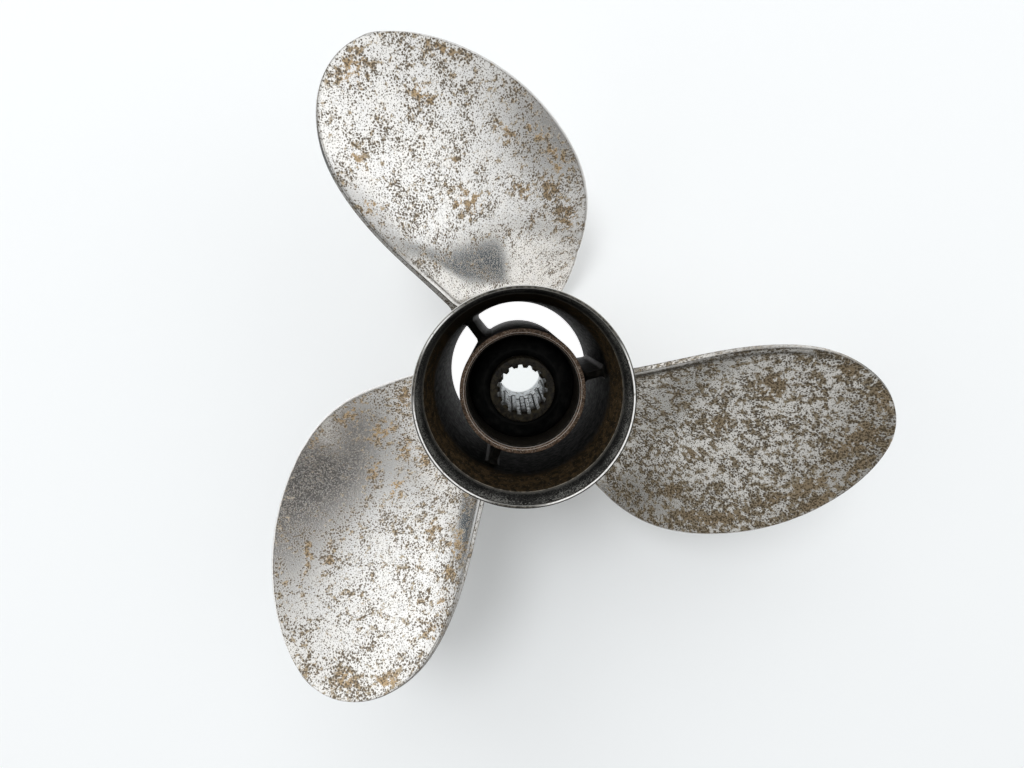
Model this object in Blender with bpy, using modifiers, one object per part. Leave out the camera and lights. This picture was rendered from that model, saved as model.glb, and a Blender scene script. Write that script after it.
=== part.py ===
"""Three-blade stainless propeller with exhaust through its hub, for an outboard or stern drive.

Metres, +Z points aft along the shaft. The origin is on the shaft axis, in the plane of the hub's front rim.
The hub stands on that rim, and the first blade points along +Y.
"""

import math

import bmesh
import bpy
import numpy as np

MM = 0.001

# Overall sizes, in millimetres and degrees
TIP_RADIUS = 177.8
BLADE_COUNT = 3
HUB_LENGTH = 152.4
FIT_GAP = 0.3
ROUND_STEPS = 72

# Outer barrel and the flared ring at its aft end
FRONT_INNER_RADIUS = 44.8
FRONT_WALL = 2.8
BARREL_INNER_RADIUS = 45.2
BARREL_WALL = 3.0
FLARE_START = 114.0
FLARE_EASE = 0.55
RING_START = 135.6
RING_START_INNER_RADIUS = 48.8
RING_START_WALL = 2.8
LIP_INNER_RADIUS = 50.6
LIP_OUTER_RADIUS = 52.5
LIP_NECK_DEPTH = 6.5
LIP_NECK_OUTSIDE = 0.1
LIP_NECK_INSIDE = 0.35
FRONT_CHAMFER = 0.8
LIP_STEPS = 4

# Inner hub tube, rubber bushing and splined sleeve
TUBE_LENGTH = 125.4
TUBE_FRONT_RADIUS = 32.6
TUBE_AFT_RADIUS = 31.7
TUBE_BORE_RADIUS = 28.0
TUBE_CHAMFER = 0.8
TUBE_OUTER_EDGE = 0.5
TUBE_LEAD_IN_WIDTH = 1.5
TUBE_LEAD_IN_DEPTH = 3.0
BUSHING_FRONT = 24.0
BUSHING_AFT = 106.0
BUSHING_SHOULDER = 5.0
BUSHING_LAND = 3.0
BUSHING_DISH = 0.8
BUSHING_EDGE = 1.5
SLEEVE_FRONT = 20.0
SLEEVE_AFT = 118.0
SLEEVE_RADIUS = 16.7
SLEEVE_CHAMFER = 0.8
SLEEVE_STEPS = 60
PLAIN_BORE_RADIUS = 13.4
PLAIN_BORE_CHAMFER = 0.5
SPLINE_FRONT = 56.7
SPLINE_RUN_IN = 2.2
SPLINE_TEETH = 15
SPLINE_MINOR_RADIUS = 11.2
SPLINE_MAJOR_RADIUS = 12.9
GROOVE_ROOT_SHARE = 0.34
GROOVE_MOUTH_SHARE = 0.56

# Ribs between the tube and the barrel
RIB_ANGLE = 106.5
RIB_THICKNESS = 4.0
RIB_FRONT = 14.0
RIB_AFT_AT_TUBE = 111.0
RIB_AFT_AT_BARREL = 100.0

# How far cutters and rough blanks run past the surface that they cut or are cut to
OVERLAP = 2.0
CUTTER_INSET = 1.5
CUTTER_MOUTH_INSET = 0.4

# Blade drawing: radius, trailing edge angle, leading edge angle, pitch, generator height, thickness.
# Angles are seen from aft, anticlockwise from +X, and the tip is at 90 degrees.
BLADE_STATIONS = (
    (40.0, 103.4, 41.0, 610.0, 57.6, 11.0),
    (50.0, 104.8, 38.8, 590.0, 63.8, 9.6),
    (60.0, 106.0, 38.5, 572.0, 69.5, 8.6),
    (80.0, 107.9, 40.9, 544.0, 80.1, 7.0),
    (100.0, 108.8, 44.0, 521.0, 89.7, 5.8),
    (120.0, 108.3, 49.6, 504.0, 98.7, 4.9),
    (140.0, 106.3, 59.1, 492.0, 107.1, 4.1),
    (155.0, 103.2, 67.8, 485.0, 113.4, 3.5),
    (166.0, 99.7, 75.5, 482.0, 118.0, 3.0),
    (174.0, 95.5, 82.7, 481.0, 121.3, 2.5),
    (177.8, 90.0, 90.0, 481.0, 122.9, 2.0),
)
GENERATOR_ANGLE = 73.4
CUP_DEPTH = 2.4
CUP_SHARE = 0.16
CUP_FADE_LENGTH = 70.0
TRAILING_WALL_ROOT = 4.0
TRAILING_WALL_TIP = 1.6
TRAILING_WALL_TAPER = 1.5
LEADING_EDGE_THICKNESS = 1.6
NOSE_LENGTH_SHARE = 0.45
ROOT_FILLET = 9.0
SECTION_COUNT = 22
TIP_SECTION_WIDTH = 0.035
SLOPE_STEP_WIDTH = 0.004
SLOPE_STEP_ANGLE = 0.2
CHORD_SHARES = (0.0, 0.035, 0.075, 0.12, 0.17, 0.25, 0.37, 0.5, 0.63, 0.75, 0.85, 0.92, 0.97, 1.0)

STEEL = (0.62, 0.60, 0.57, 1.0)
DARK_STEEL = (0.20, 0.18, 0.16, 1.0)
RUSTY_STEEL = (0.24, 0.17, 0.12, 1.0)
BLACK_RUBBER = (0.015, 0.015, 0.017, 1.0)
OILED_STEEL = (0.22, 0.20, 0.15, 1.0)


def clear_scene():
    for thing in list(bpy.data.objects):
        bpy.data.objects.remove(thing, do_unlink=True)


def new_collection(name):
    collection = bpy.data.collections.new(name)
    bpy.context.scene.collection.children.link(collection)
    return collection


def finish(name, colour, roughness, metallic):
    material = bpy.data.materials.new(name)
    material.use_nodes = True
    shader = material.node_tree.nodes["Principled BSDF"]
    shader.inputs["Base Color"].default_value = colour
    shader.inputs["Roughness"].default_value = roughness
    shader.inputs["Metallic"].default_value = metallic
    return material


def smooth_round(piece):
    piece.data.shade_smooth()
    piece.data.set_sharp_from_angle(angle=math.radians(35))


def add_object(name, mesh, collection, material=None):
    piece = bpy.data.objects.new(name, mesh)
    collection.objects.link(piece)
    if material:
        mesh.materials.append(material)
    return piece


def turned(name, profile, collection, material=None, steps=ROUND_STEPS):
    """A ring turned about Z from a closed profile of (radius, height) points in millimetres."""
    count = len(profile)
    points = [(radius * MM, 0.0, height * MM) for radius, height in profile]
    mesh = bpy.data.meshes.new(name)
    mesh.from_pydata(points, [(i, (i + 1) % count) for i in range(count)], [])
    piece = add_object(name, mesh, collection, material)
    screw = piece.modifiers.new("turn", "SCREW")
    screw.angle = math.tau
    screw.steps = steps
    screw.render_steps = steps
    screw.use_merge_vertices = True
    screw.merge_threshold = 0.00001
    screw.use_smooth_shade = True
    return piece


def turned_plug(name, outline, collection, steps=ROUND_STEPS):
    """A solid turned about Z from an outline that starts and ends on the axis, top to bottom."""
    points = [(radius * MM, 0.0, height * MM) for radius, height in outline]
    mesh = bpy.data.meshes.new(name)
    mesh.from_pydata(points, [(i, i + 1) for i in range(len(points) - 1)], [])
    piece = add_object(name, mesh, collection)
    screw = piece.modifiers.new("turn", "SCREW")
    screw.angle = math.tau
    screw.steps = steps
    screw.render_steps = steps
    screw.use_merge_vertices = True
    screw.merge_threshold = 0.00001
    return as_cutter(piece)


def as_cutter(piece):
    piece.hide_render = True
    piece.display_type = "WIRE"
    return piece


def cut(piece, cutter, operation="DIFFERENCE"):
    modifier = piece.modifiers.new(cutter.name, "BOOLEAN")
    modifier.operation = operation
    modifier.solver = "EXACT"
    modifier.object = cutter


def ease(share):
    return share * share * (3 - 2 * share)


def flare_points(start, end, first, last, count=5):
    """Points (radius, height) along a smooth flare from one radius to another."""
    points = []
    for step in range(count + 1):
        share = step / count
        widened = ease(share) * FLARE_EASE + share * share * (1 - FLARE_EASE)
        points.append((first + (last - first) * widened, start + (end - start) * share))
    return points


def barrel_outer_points():
    front = FRONT_INNER_RADIUS + FRONT_WALL
    outer = BARREL_INNER_RADIUS + BARREL_WALL
    flare = flare_points(FLARE_START, RING_START, outer, RING_START_INNER_RADIUS + RING_START_WALL)
    return [(front - FRONT_CHAMFER, 0.0), (front, FRONT_CHAMFER)] + flare


def barrel_inner_points():
    flare = flare_points(FLARE_START, RING_START, BARREL_INNER_RADIUS, RING_START_INNER_RADIUS)
    return [(FRONT_INNER_RADIUS, 0.0)] + flare


def outer_barrel(parts, material):
    profile = barrel_outer_points()[::-1] + barrel_inner_points()
    return turned("outer_barrel", profile, parts, material)


def diffuser_ring(parts, material):
    """Flared tail ring with a rounded polished lip."""
    start = RING_START + FIT_GAP
    lip_radius = (LIP_OUTER_RADIUS - LIP_INNER_RADIUS) / 2
    lip_middle = (LIP_OUTER_RADIUS + LIP_INNER_RADIUS) / 2
    lip_height = HUB_LENGTH - lip_radius
    lip = []
    for step in range(LIP_STEPS + 1):
        angle = math.pi * step / LIP_STEPS
        lip.append((lip_middle - lip_radius * math.cos(angle), lip_height + lip_radius * math.sin(angle)))
    outer = [
        (LIP_OUTER_RADIUS - LIP_NECK_OUTSIDE, lip_height - LIP_NECK_DEPTH),
        (RING_START_INNER_RADIUS + RING_START_WALL, start),
    ]
    inner = [
        (RING_START_INNER_RADIUS, start),
        (LIP_INNER_RADIUS - LIP_NECK_INSIDE, lip_height - LIP_NECK_DEPTH),
    ]
    return turned("diffuser_ring", lip + outer + inner, parts, material)


def inner_hub(parts, material):
    """Tube that holds the bushing, with chamfers at both ends of its bore."""
    profile = [
        (TUBE_AFT_RADIUS - TUBE_OUTER_EDGE, TUBE_LENGTH),
        (TUBE_AFT_RADIUS, TUBE_LENGTH - TUBE_OUTER_EDGE),
        (TUBE_FRONT_RADIUS, TUBE_OUTER_EDGE),
        (TUBE_FRONT_RADIUS - TUBE_OUTER_EDGE, 0.0),
        (TUBE_BORE_RADIUS + TUBE_LEAD_IN_WIDTH, 0.0),
        (TUBE_BORE_RADIUS, TUBE_LEAD_IN_DEPTH),
        (TUBE_BORE_RADIUS, TUBE_LENGTH - TUBE_CHAMFER),
        (TUBE_BORE_RADIUS + TUBE_CHAMFER, TUBE_LENGTH),
    ]
    return turned("inner_hub", profile, parts, material)


def rubber_bushing(parts, material):
    """Rubber ring with a flat land round the sleeve and shoulders that slope to the tube."""
    outer = TUBE_BORE_RADIUS - FIT_GAP
    inner = SLEEVE_RADIUS + FIT_GAP
    profile = [
        (inner + BUSHING_LAND, BUSHING_AFT),
        (inner + 2 * BUSHING_LAND, BUSHING_AFT - BUSHING_DISH),
        (outer - BUSHING_EDGE, BUSHING_AFT - BUSHING_SHOULDER + BUSHING_EDGE),
        (outer, BUSHING_AFT - BUSHING_SHOULDER),
        (outer, BUSHING_FRONT + BUSHING_SHOULDER),
        (outer - BUSHING_EDGE, BUSHING_FRONT + BUSHING_SHOULDER - BUSHING_EDGE),
        (inner + BUSHING_LAND, BUSHING_FRONT),
        (inner, BUSHING_FRONT + BUSHING_EDGE),
        (inner, BUSHING_AFT - BUSHING_EDGE),
    ]
    return turned("rubber_bushing", profile, parts, material)


def spline_cutter(cutters):
    """One flat outline with a groove for each tooth of the shaft, as long as the splined stretch."""
    step = math.tau / SPLINE_TEETH
    inside = SPLINE_MINOR_RADIUS - CUTTER_INSET
    mouth_radius = SPLINE_MINOR_RADIUS - CUTTER_MOUTH_INSET
    mouth = step * GROOVE_MOUTH_SHARE / 2
    root = step * GROOVE_ROOT_SHARE / 2
    outline = []
    for tooth in range(SPLINE_TEETH):
        middle = tooth * step
        for radius, angle in (
            (inside, middle - step / 2),
            (mouth_radius, middle - mouth),
            (SPLINE_MAJOR_RADIUS, middle - root),
            (SPLINE_MAJOR_RADIUS, middle + root),
            (mouth_radius, middle + mouth),
        ):
            outline.append((radius * math.cos(angle), radius * math.sin(angle)))
    low = SPLINE_FRONT - SPLINE_RUN_IN
    high = SLEEVE_AFT + OVERLAP
    mesh = bpy.data.meshes.new("spline_cutter")
    shape = bmesh.new()
    loop = [shape.verts.new((x * MM, y * MM, low * MM)) for x, y in outline]
    base = shape.faces.new(loop)
    grown = bmesh.ops.extrude_face_region(shape, geom=[base])
    lifted = [item for item in grown["geom"] if isinstance(item, bmesh.types.BMVert)]
    bmesh.ops.translate(shape, vec=(0.0, 0.0, (high - low) * MM), verts=lifted)
    bmesh.ops.recalc_face_normals(shape, faces=shape.faces)
    shape.to_mesh(mesh)
    shape.free()
    return as_cutter(add_object("spline_cutter", mesh, cutters))


def splined_sleeve(parts, cutters, material):
    """Metal sleeve with internal splines aft and a plain bore in front."""
    profile = [
        (SLEEVE_RADIUS - SLEEVE_CHAMFER, SLEEVE_AFT),
        (SLEEVE_RADIUS, SLEEVE_AFT - SLEEVE_CHAMFER),
        (SLEEVE_RADIUS, SLEEVE_FRONT + SLEEVE_CHAMFER),
        (SLEEVE_RADIUS - SLEEVE_CHAMFER, SLEEVE_FRONT),
        (PLAIN_BORE_RADIUS + PLAIN_BORE_CHAMFER, SLEEVE_FRONT),
        (PLAIN_BORE_RADIUS, SLEEVE_FRONT + PLAIN_BORE_CHAMFER),
        (PLAIN_BORE_RADIUS, SPLINE_FRONT - SPLINE_RUN_IN),
        (SPLINE_MINOR_RADIUS, SPLINE_FRONT),
        (SPLINE_MINOR_RADIUS, SLEEVE_AFT - SLEEVE_CHAMFER),
        (SPLINE_MINOR_RADIUS + SLEEVE_CHAMFER, SLEEVE_AFT),
    ]
    piece = turned("splined_sleeve", profile, parts, material, steps=SLEEVE_STEPS)
    cut(piece, spline_cutter(cutters))
    return piece


def rib(index, parts, material, tube_envelope, barrel_envelope):
    """Radial plate that joins the tube to the barrel."""
    angle = math.radians(RIB_ANGLE + 360.0 / BLADE_COUNT * index)
    near = TUBE_AFT_RADIUS - OVERLAP
    far = BARREL_INNER_RADIUS + OVERLAP
    slope = (RIB_AFT_AT_BARREL - RIB_AFT_AT_TUBE) / (BARREL_INNER_RADIUS - TUBE_AFT_RADIUS)
    bpy.ops.mesh.primitive_cube_add(size=1.0)
    piece = bpy.context.object
    piece.name = f"rib_{index + 1}"
    for collection in list(piece.users_collection):
        collection.objects.unlink(piece)
    parts.objects.link(piece)
    for corner in piece.data.vertices:
        radius = far if corner.co.x > 0 else near
        aft = RIB_AFT_AT_TUBE + slope * (radius - TUBE_AFT_RADIUS)
        corner.co.x = radius * MM
        corner.co.y = math.copysign(RIB_THICKNESS / 2 * MM, corner.co.y)
        corner.co.z = (aft if corner.co.z > 0 else RIB_FRONT) * MM
    piece.rotation_euler.z = angle
    piece.data.materials.append(material)
    cut(piece, tube_envelope)
    cut(piece, barrel_envelope, "INTERSECT")
    return piece


def natural_spline(knots, values):
    """Second derivatives of the natural cubic through the points."""
    count = len(knots)
    gap = np.diff(knots)
    matrix = np.eye(count)
    right = np.zeros(count)
    for i in range(1, count - 1):
        matrix[i, i - 1 : i + 2] = gap[i - 1], 2 * (gap[i - 1] + gap[i]), gap[i]
        right[i] = 6 * ((values[i + 1] - values[i]) / gap[i] - (values[i] - values[i - 1]) / gap[i - 1])
    return np.linalg.solve(matrix, right)


class BladeForm:
    """Smooth blade sizes at any radius. The knots bunch towards the tip, where the outline turns round."""

    def __init__(self):
        table = np.array(BLADE_STATIONS[::-1])
        self.knots = self.width(table[:, 0])
        self.columns = [table[:, i] for i in range(1, table.shape[1])]
        self.bends = [natural_spline(self.knots, column) for column in self.columns]

    @staticmethod
    def width(radius):
        return np.sqrt(np.clip(1.0 - np.asarray(radius, float) / TIP_RADIUS, 0.0, 1.0))

    def at(self, width):
        """Trailing angle, leading angle, pitch, generator height and thickness."""
        i = int(np.clip(np.searchsorted(self.knots, width) - 1, 0, len(self.knots) - 2))
        gap = self.knots[i + 1] - self.knots[i]
        low = (self.knots[i + 1] - width) / gap
        high = 1.0 - low
        found = []
        for column, bend in zip(self.columns, self.bends):
            curve = ((low**3 - low) * bend[i] + (high**3 - high) * bend[i + 1]) * gap * gap / 6
            found.append(low * column[i] + high * column[i + 1] + curve)
        return found


def face_point(radius, angle, sizes, share):
    """A point of the pressure face. The cup lifts the trailing edge off the screw surface."""
    pitch, height = sizes[2:4]
    rise = pitch * (angle - GENERATOR_ANGLE) / 360.0
    fade = math.sin(math.pi * min(1.0, (TIP_RADIUS - radius) / CUP_FADE_LENGTH) / 2)
    if share < CUP_SHARE:
        hollow = 1.0 - (1.0 - share / CUP_SHARE) ** 2
    else:
        hollow = (1.0 - share) / (1.0 - CUP_SHARE)
    turn = math.radians(angle)
    return np.array(
        [radius * math.cos(turn), radius * math.sin(turn), height + rise - CUP_DEPTH * fade * hollow]
    )


def section_rows(form, width):
    """The face row and the back row of one blade section, and the nose between them."""
    radius = TIP_RADIUS * (1.0 - width * width)
    sizes = form.at(width)
    near_width = width + SLOPE_STEP_WIDTH
    near_radius = TIP_RADIUS * (1.0 - near_width * near_width)
    near = form.at(near_width)
    trailing, leading, _, _, thickness = sizes
    share_step = SLOPE_STEP_ANGLE / (trailing - leading)
    inward = width / form.knots[-1]
    wall = TRAILING_WALL_TIP + (TRAILING_WALL_ROOT - TRAILING_WALL_TIP) * inward**TRAILING_WALL_TAPER
    clear = max(0.0, radius - BARREL_INNER_RADIUS - BARREL_WALL)
    reach = max(0.0, ROOT_FILLET - clear)
    fillet = ROOT_FILLET - math.sqrt(max(0.0, ROOT_FILLET**2 - reach**2))
    face_row = []
    back_row = []
    for share in CHORD_SHARES:
        angle = trailing + (leading - trailing) * share
        here = face_point(radius, angle, sizes, share)
        along = face_point(radius, angle + SLOPE_STEP_ANGLE, sizes, share - share_step) - here
        across = here - face_point(near_radius, angle, near, share)
        normal = np.cross(across, along)
        normal /= np.linalg.norm(normal)
        thick = wall + (LEADING_EDGE_THICKNESS - wall) * share
        thick += max(0.0, thickness - (wall + LEADING_EDGE_THICKNESS) / 2) * 4 * share * (1.0 - share)
        face_row.append(here + normal * fillet)
        back_row.append(here - normal * (thick + fillet))
    middle = (face_row[-1] + back_row[-1]) / 2
    ahead = face_row[-1] - face_row[-2]
    nose = middle + ahead / np.linalg.norm(ahead) * LEADING_EDGE_THICKNESS * NOSE_LENGTH_SHARE
    return face_row, nose, back_row


def blade_mesh(index):
    """Loft through the sections, closed by a strip at the root and another at the tip."""
    form = BladeForm()
    turn = math.tau / BLADE_COUNT * index
    spin = np.array(
        [[math.cos(turn), -math.sin(turn), 0.0], [math.sin(turn), math.cos(turn), 0.0], [0.0, 0.0, 1.0]]
    )
    widths = np.linspace(form.knots[-1], TIP_SECTION_WIDTH, SECTION_COUNT)
    shape = bmesh.new()
    loops = []
    for width in widths:
        face_row, nose, back_row = section_rows(form, width)
        loop = face_row + [nose] + back_row[::-1]
        loops.append([shape.verts.new(spin @ point * MM) for point in loop])
    count = len(loops[0])
    for inner, outer in zip(loops, loops[1:]):
        for i in range(count):
            following = (i + 1) % count
            shape.faces.new((inner[i], inner[following], outer[following], outer[i]))
    steps = len(CHORD_SHARES)
    for loop in (loops[0], loops[-1]):
        for i in range(steps - 1):
            shape.faces.new((loop[i], loop[i + 1], loop[count - 2 - i], loop[count - 1 - i]))
        shape.faces.new((loop[steps - 1], loop[steps], loop[steps + 1]))
    bmesh.ops.recalc_face_normals(shape, faces=shape.faces)
    mesh = bpy.data.meshes.new(f"blade_{index + 1}")
    shape.to_mesh(mesh)
    shape.free()
    return mesh


def blade(index, parts, material, barrel_body):
    piece = add_object(f"blade_{index + 1}", blade_mesh(index), parts, material)
    smooth_round(piece)
    cut(piece, barrel_body)
    return piece


def grown(points, gap):
    return [(radius + gap, height) for radius, height in points]


def main():
    clear_scene()
    parts = new_collection("propeller")
    cutters = new_collection("cutters")

    steel = finish("steel", STEEL, 0.32, 1.0)
    dark_steel = finish("dark_steel", DARK_STEEL, 0.5, 0.8)
    rusty_steel = finish("rusty_steel", RUSTY_STEEL, 0.6, 0.7)
    rubber = finish("rubber", BLACK_RUBBER, 0.6, 0.0)
    oiled_steel = finish("oiled_steel", OILED_STEEL, 0.4, 0.9)

    outer_barrel(parts, steel)
    diffuser_ring(parts, steel)
    inner_hub(parts, rusty_steel)
    rubber_bushing(parts, rubber)
    splined_sleeve(parts, cutters, oiled_steel)

    front_radius = FRONT_INNER_RADIUS + FRONT_WALL + FIT_GAP
    barrel_outline = grown(barrel_outer_points(), FIT_GAP)[::-1]
    barrel_body = turned_plug(
        "barrel_body",
        [(0.0, HUB_LENGTH), (LIP_OUTER_RADIUS + FIT_GAP, HUB_LENGTH)]
        + barrel_outline[:-1]
        + [(front_radius, -OVERLAP), (0.0, -OVERLAP)],
        cutters,
    )
    for index in range(BLADE_COUNT):
        blade(index, parts, steel, barrel_body)

    tube_envelope = turned_plug(
        "tube_envelope",
        [
            (0.0, HUB_LENGTH),
            (TUBE_AFT_RADIUS + FIT_GAP, HUB_LENGTH),
            (TUBE_AFT_RADIUS + FIT_GAP, TUBE_LENGTH),
            (TUBE_FRONT_RADIUS + FIT_GAP, 0.0),
            (0.0, 0.0),
        ],
        cutters,
    )
    barrel_envelope = turned_plug(
        "barrel_envelope",
        [(0.0, RING_START)] + grown(barrel_inner_points(), -FIT_GAP)[::-1] + [(0.0, 0.0)],
        cutters,
    )
    for index in range(BLADE_COUNT):
        rib(index, parts, dark_steel, tube_envelope, barrel_envelope)


main()
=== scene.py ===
"""Looks of a used three-blade stainless boat propeller that stands on the front end of its hub.

Sizes are in millimetres and angles in degrees, as on the drawing of the part. Points are turned to metres
where a mesh is made. +Z is the shaft, pointing aft, and the first blade points along +Y. An azimuth is a
direction seen from above in the picture, anticlockwise from the picture's right.
"""

import math
import random

import bmesh
import bpy
import numpy as np
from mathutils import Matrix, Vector


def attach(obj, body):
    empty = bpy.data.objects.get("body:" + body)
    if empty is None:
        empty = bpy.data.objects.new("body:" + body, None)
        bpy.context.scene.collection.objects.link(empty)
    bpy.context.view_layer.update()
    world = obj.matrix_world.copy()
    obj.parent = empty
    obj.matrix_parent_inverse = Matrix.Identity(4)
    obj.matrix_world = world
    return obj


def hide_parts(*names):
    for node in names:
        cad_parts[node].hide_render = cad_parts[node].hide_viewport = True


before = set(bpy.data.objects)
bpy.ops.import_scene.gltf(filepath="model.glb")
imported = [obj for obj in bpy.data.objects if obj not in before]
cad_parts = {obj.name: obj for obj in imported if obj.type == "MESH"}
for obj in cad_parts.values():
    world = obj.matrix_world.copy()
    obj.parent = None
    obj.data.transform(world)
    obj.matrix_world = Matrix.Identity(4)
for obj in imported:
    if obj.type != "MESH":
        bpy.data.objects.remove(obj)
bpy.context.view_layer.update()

MM = 0.001
SCENE = bpy.context.scene

# Camera
CAMERA_PLACE = (9.3075, 44.9445, 481.69)
CAMERA_TURN = (-6.585, -0.560, -22.844)
CAMERA_LENS = 25.20
CAMERA_SENSOR = 36.0
CAMERA_CLIP_METRES = (0.01, 50.0)

# Barrel and tail ring
ROUND_STEPS = 216
ARC_STEPS = 3
HUB_LENGTH = 152.4
FRONT_INNER_RADIUS = 44.8
FRONT_OUTER_RADIUS = FRONT_INNER_RADIUS + 2.8
FRONT_ROUNDING = 0.8
BARREL_INNER_RADIUS = 45.2
BARREL_OUTER_RADIUS = BARREL_INNER_RADIUS + 3.0
FLARE_START = 114.0
FLARE_EASE = 0.55
FLARE_STEPS = 14
RING_START = 135.6
RING_START_INNER_RADIUS = 48.8
RING_START_OUTER_RADIUS = RING_START_INNER_RADIUS + 2.8
RING_OUTER_CURVE = 1.6
RING_INNER_CURVE = 1.25
RING_STEPS = 8
LIP_INNER_RADIUS = 50.6
LIP_OUTER_RADIUS = 52.5
LIP_STEPS = 14

# Inner tube, bushing and sleeve
TUBE_LENGTH = 125.4
TUBE_FRONT_RADIUS = 32.6
TUBE_AFT_RADIUS = 31.7
TUBE_BORE_RADIUS = 28.0
TUBE_CHAMFER = 1.5
TUBE_STEP = 0.7
TUBE_ROUNDING = 0.45
BUSHING_FRONT = 24.0
BUSHING_AFT = 106.0
BUSHING_ROUNDING = 1.2
BUSHING_ARC_STEPS = 5
SLEEVE_FRONT = 20.0
SLEEVE_AFT = 118.0
SLEEVE_RADIUS = 16.7
SLEEVE_CHAMFER = 0.8
PLAIN_BORE_RADIUS = 13.4
SPLINE_FRONT = 56.7
SPLINE_RUN_IN = 2.2
SPLINE_TEETH = 15
SPLINE_MINOR_RADIUS = 11.2
SPLINE_MAJOR_RADIUS = 12.9
SPLINE_SEED = 15
SPLINE_WEAR = (0.0, 0.25)
SPLINE_RUN_OUT = (-0.6, 1.6)

# Form of a spline groove, from tooth tip to tooth tip: share of a tooth's turn, share of the groove's depth
SPLINE_FORM = (
    (-0.50, 0.0), (-0.31, 0.0), (-0.275, 0.12), (-0.19, 0.9), (-0.16, 1.0), (0.0, 1.0),
    (0.16, 1.0), (0.19, 0.9), (0.275, 0.12), (0.31, 0.0),
)

# Ribs between the tube and the barrel
RIB_ANGLE = 106.5
RIB_THICKNESS = 4.0
RIB_FRONT = 14.0
RIB_AFT_AT_TUBE = 111.0
RIB_AFT_AT_BARREL = 100.0
RIB_FILLET = 3.0
RIB_OVERLAP = 0.8
RIB_LOOPS = 21
RIB_EDGE_STEPS = 10

# Blade drawing: radius, trailing edge angle, leading edge angle, pitch, generator height, thickness
BLADE_COUNT = 3
TIP_RADIUS = 177.8
BLADE_STATIONS = (
    (40.0, 103.4, 41.0, 610.0, 57.6, 11.0),
    (50.0, 104.8, 38.8, 590.0, 63.8, 9.6),
    (60.0, 106.0, 38.5, 572.0, 69.5, 8.6),
    (80.0, 107.9, 40.9, 544.0, 80.1, 7.0),
    (100.0, 108.8, 44.0, 521.0, 89.7, 5.8),
    (120.0, 108.3, 49.6, 504.0, 98.7, 4.9),
    (140.0, 106.3, 59.1, 492.0, 107.1, 4.1),
    (155.0, 103.2, 67.8, 485.0, 113.4, 3.5),
    (166.0, 99.7, 75.5, 482.0, 118.0, 3.0),
    (174.0, 95.5, 82.7, 481.0, 121.3, 2.5),
    (177.8, 90.0, 90.0, 481.0, 122.9, 2.0),
)
GENERATOR_ANGLE = 73.4
CUP_DEPTH = 2.4
CUP_SHARE = 0.16
CUP_CURVE = 1.6
CUP_FADE_LENGTH = 70.0
TRAILING_WALL_ROOT = 3.1
TRAILING_WALL_TIP = 1.1
TRAILING_WALL_TAPER = 1.6
LEADING_EDGE_THICKNESS = 1.6
ROOT_FILLET = 9.0
ROOT_SINK = 0.25
FILLET_STEPS = 14
SPAN_STEPS = 76
CHORD_STEPS = 56
NOSE_STEPS = 7
WALL_STEPS = 8
LAST_WIDTH = 0.02
PROBE_WIDTH = 0.004
PROBE_ANGLE = 0.2

# Small dents in the leading edge: how many, their radius from the shaft, depth and half width
NICK_COUNT = 9
NICK_SEED = 40
NICK_RADIUS = (70.0, 172.0)
NICK_DEPTH = (0.10, 0.45)
NICK_HALF_WIDTH = (0.5, 1.1)
NICK_SHARPNESS = 24

# Edges of each blade. The bead is the rubbed rim of the face along the leading edge, painted pale as a
# highlight too: the radius where it starts and its width. The wall is the trailing edge: how far it is
# rubbed and painted pale as a highlight, how much grime and painted shade it has, and how strong the dark
# band of painted shade beside it on the face is
BEAD_START = (95.0, 60.0, 60.0)
BEAD_WIDTH = (1.15, 0.9, 0.25)
WALL_RUBBED_AND_HIGHLIGHT = (0.06, 0.10, 0.28)
WALL_GRIME_AND_SHADE = (0.45, 0.35, 0.10)
EDGE_SHADE_BAND = (0.0, 0.15, 1.1)

# Rust: all over a blade, more of it at any tip, less at the root, more along the leading edge, and one
# cleaner patch. Patches and stains are given by radius, share of the chord from the trailing edge, and size
BLADE_RUST = (-0.25, 0.05, 0.95)
TIP_RUST = 0.20
ROOT_CLEAN = (0.8, 0.0, 0.0)
LEADING_RUST = (0.30, 0.10, 0.30)
CLEAN_PATCH = ((0.0, 0.0, 1.0), (124.0, 0.84, 27.0), (0.0, 0.0, 1.0))
CLEAN_PATCH_STRENGTH = 1.3
BLADE_STAINS = (
    (
        (169, 0.20, 7), (168, 0.84, 4), (150, 0.47, 5), (134, 0.10, 4), (133, 0.85, 5), (132, 0.70, 5),
        (124, 0.88, 7), (121, 0.43, 3), (113, 0.04, 5), (108, 0.80, 7), (105, 0.66, 5), (100, 0.39, 8),
        (99, 0.88, 7),
    ),
    (
        (166, 0.19, 5), (153, 0.06, 5), (145, 0.70, 4), (138, 0.56, 3), (123, 0.95, 5), (104, 0.92, 9),
        (91, 0.47, 5), (88, 0.19, 5), (85, 0.05, 6), (92, 0.78, 6), (99, 0.05, 4), (112, 0.05, 4),
        (125, 0.04, 4), (86, 0.74, 6), (78, 0.58, 5), (73, 0.86, 6), (70, 0.45, 4), (98, 0.62, 5),
    ),
    (
        (171, 0.69, 4), (167, 0.40, 8), (168, 0.08, 5), (164, 0.91, 5), (160, 0.50, 5), (156, 0.72, 7),
        (152, 0.04, 4), (147, 0.77, 5), (136, 0.88, 7), (125, 0.88, 5), (123, 0.17, 7), (109, 0.76, 5),
        (106, 0.35, 5), (103, 0.53, 4),
    ),
)
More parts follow.
